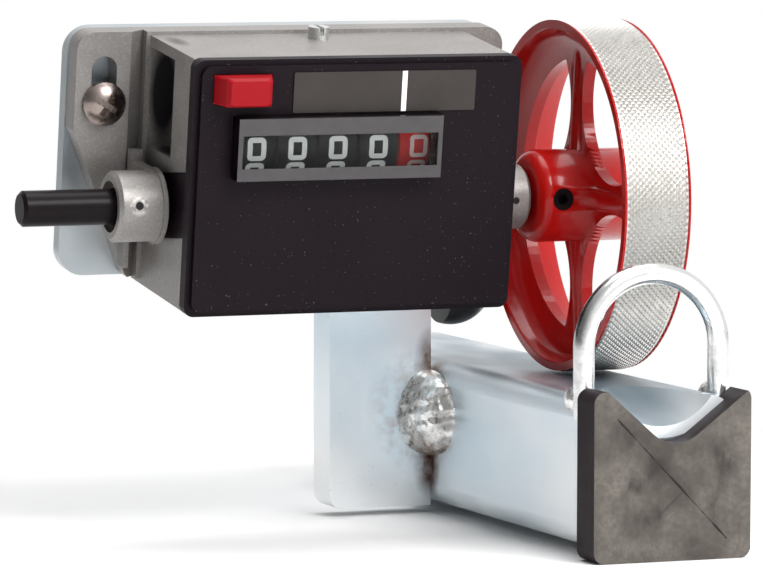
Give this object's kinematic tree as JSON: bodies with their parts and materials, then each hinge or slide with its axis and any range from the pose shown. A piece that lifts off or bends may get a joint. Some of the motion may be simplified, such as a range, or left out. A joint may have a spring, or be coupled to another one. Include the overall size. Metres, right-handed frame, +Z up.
{
  "type": "cable length counter",
  "caption": "Mechanical length counter with a knurled measuring wheel, swinging on a welded stand over a dished tube with a wire cable bow.",
  "frame": {"origin": "underside of the cross tube, on its centre line, straight below the wheel's axle", "axes": "+X along the wheel's axle from the counter towards the wheel, +Y away from the person who reads the counter, +Z up"},
  "size_m": [0.1757, 0.197, 0.1381],
  "materials": {
    "zinc_steel": "zinc plated, satin",
    "weld_metal": "rough weld",
    "bright_steel": "zinc plated, bright",
    "cap_plastic": "scuffed black",
    "knob_plastic": "black",
    "die_cast": "as cast",
    "cover_plastic": "satin black",
    "clear_plastic": "clear",
    "label_film": "printed film",
    "bush_bronze": "sintered",
    "black_steel": "blackened steel",
    "wheel_red": "red enamel on a die casting",
    "tread_metal": "diamond knurled",
    "digit_black": "black",
    "digit_red": "red",
    "button_red": "red"
  },
  "bodies": {
    "stand": {"upright_bar": "zinc_steel", "cross_tube": "zinc_steel", "frame_weld": "weld_metal", "front_end_cap": "cap_plastic", "cable_bow": "bright_steel", "bow_welds": "weld_metal"},
    "counter": {"mounting_plate": "zinc_steel", "hinge_bracket": "zinc_steel", "pivot_bolt": "bright_steel", "pivot_washers": "bright_steel", "pivot_knob": "knob_plastic", "counter_body": "die_cast", "front_cover": "cover_plastic", "counter_window": "clear_plastic", "label_strip": "label_film", "foot_screws": "bright_steel", "foot_nuts": "bright_steel", "shaft_bushes": "bush_bronze", "frame_screw": "bright_steel", "mechanism_frame": "bright_steel", "number_axle": "bright_steel", "carrier_plates": "bright_steel", "tie_rod": "bright_steel", "idler_axle": "bright_steel"},
    "drive": {"drive_shaft": "black_steel", "measuring_wheel": "wheel_red", "knurled_tread": "tread_metal", "hub_grub_screw": "black_steel", "shaft_gear": "bright_steel"},
    "idler": {"idler_gear": "bright_steel"},
    "wheel_dm": {"decimetre_wheel": "digit_red"},
    "wheel_m": {"metre_wheel": "digit_black"},
    "wheel_10m": {"ten_metre_wheel": "digit_black"},
    "wheel_100m": {"hundred_metre_wheel": "digit_black"},
    "wheel_1000m": {"thousand_metre_wheel": "digit_black"},
    "pinion_1": {"carry_pinion_1": "bright_steel"},
    "pinion_2": {"carry_pinion_2": "bright_steel"},
    "pinion_3": {"carry_pinion_3": "bright_steel"},
    "pinion_4": {"carry_pinion_4": "bright_steel"},
    "reset": {"reset_button": "button_red", "reset_comb": "bright_steel"}
  },
  "joints": [
    {"name": "head_swing", "type": "hinge", "parent": "stand", "child": "counter", "pos_m": [-0.035, 0.0475, 0.06115], "axis": [-1, 0, 0], "range_deg": [0, 45]},
    {"name": "shaft_spin", "type": "hinge", "parent": "counter", "child": "drive", "pos_m": [-0.06, 0, 0.08805], "axis": [1, 0, 0], "continuous": true},
    {"name": "idler_spin", "type": "hinge", "parent": "counter", "child": "idler", "pos_m": [-0.06, 0.00586, 0.1038], "axis": [1, 0, 0], "continuous": true},
    {"name": "dm_spin", "type": "hinge", "parent": "counter", "child": "wheel_dm", "pos_m": [-0.06, -0.01088, 0.10517], "axis": [1, 0, 0], "continuous": true},
    {"name": "m_spin", "type": "hinge", "parent": "counter", "child": "wheel_m", "pos_m": [-0.06, -0.01088, 0.10517], "axis": [1, 0, 0], "continuous": true},
    {"name": "ten_m_spin", "type": "hinge", "parent": "counter", "child": "wheel_10m", "pos_m": [-0.06, -0.01088, 0.10517], "axis": [1, 0, 0], "continuous": true},
    {"name": "hundred_m_spin", "type": "hinge", "parent": "counter", "child": "wheel_100m", "pos_m": [-0.06, -0.01088, 0.10517], "axis": [1, 0, 0], "continuous": true},
    {"name": "thousand_m_spin", "type": "hinge", "parent": "counter", "child": "wheel_1000m", "pos_m": [-0.06, -0.01088, 0.10517], "axis": [1, 0, 0], "continuous": true},
    {"name": "pinion_1_spin", "type": "hinge", "parent": "counter", "child": "pinion_1", "pos_m": [-0.06, -0.00993, 0.09863], "axis": [1, 0, 0], "continuous": true},
    {"name": "pinion_2_spin", "type": "hinge", "parent": "counter", "child": "pinion_2", "pos_m": [-0.06, -0.00993, 0.09863], "axis": [1, 0, 0], "continuous": true},
    {"name": "pinion_3_spin", "type": "hinge", "parent": "counter", "child": "pinion_3", "pos_m": [-0.06, -0.00993, 0.09863], "axis": [1, 0, 0], "continuous": true},
    {"name": "pinion_4_spin", "type": "hinge", "parent": "counter", "child": "pinion_4", "pos_m": [-0.06, -0.00993, 0.09863], "axis": [1, 0, 0], "continuous": true},
    {"name": "reset_press", "type": "slide", "parent": "counter", "child": "reset", "axis": [0, 0.9895, 0.1444], "range_m": [0, 0.003]}
  ],
  "couplings": [
    {"joint": "idler_spin", "follows": "shaft_spin", "ratio": -0.75},
    {"joint": "dm_spin", "follows": "shaft_spin", "ratio": 0.3},
    {"joint": "m_spin", "follows": "shaft_spin", "ratio": 0.03},
    {"joint": "ten_m_spin", "follows": "shaft_spin", "ratio": 0.003},
    {"joint": "hundred_m_spin", "follows": "shaft_spin", "ratio": 0.0003},
    {"joint": "thousand_m_spin", "follows": "shaft_spin", "ratio": 0.00003},
    {"joint": "pinion_4_spin", "follows": "shaft_spin", "ratio": 0.12},
    {"joint": "pinion_3_spin", "follows": "shaft_spin", "ratio": 0.012},
    {"joint": "pinion_2_spin", "follows": "shaft_spin", "ratio": 0.0012},
    {"joint": "pinion_1_spin", "follows": "shaft_spin", "ratio": 0.00012}
  ]
}
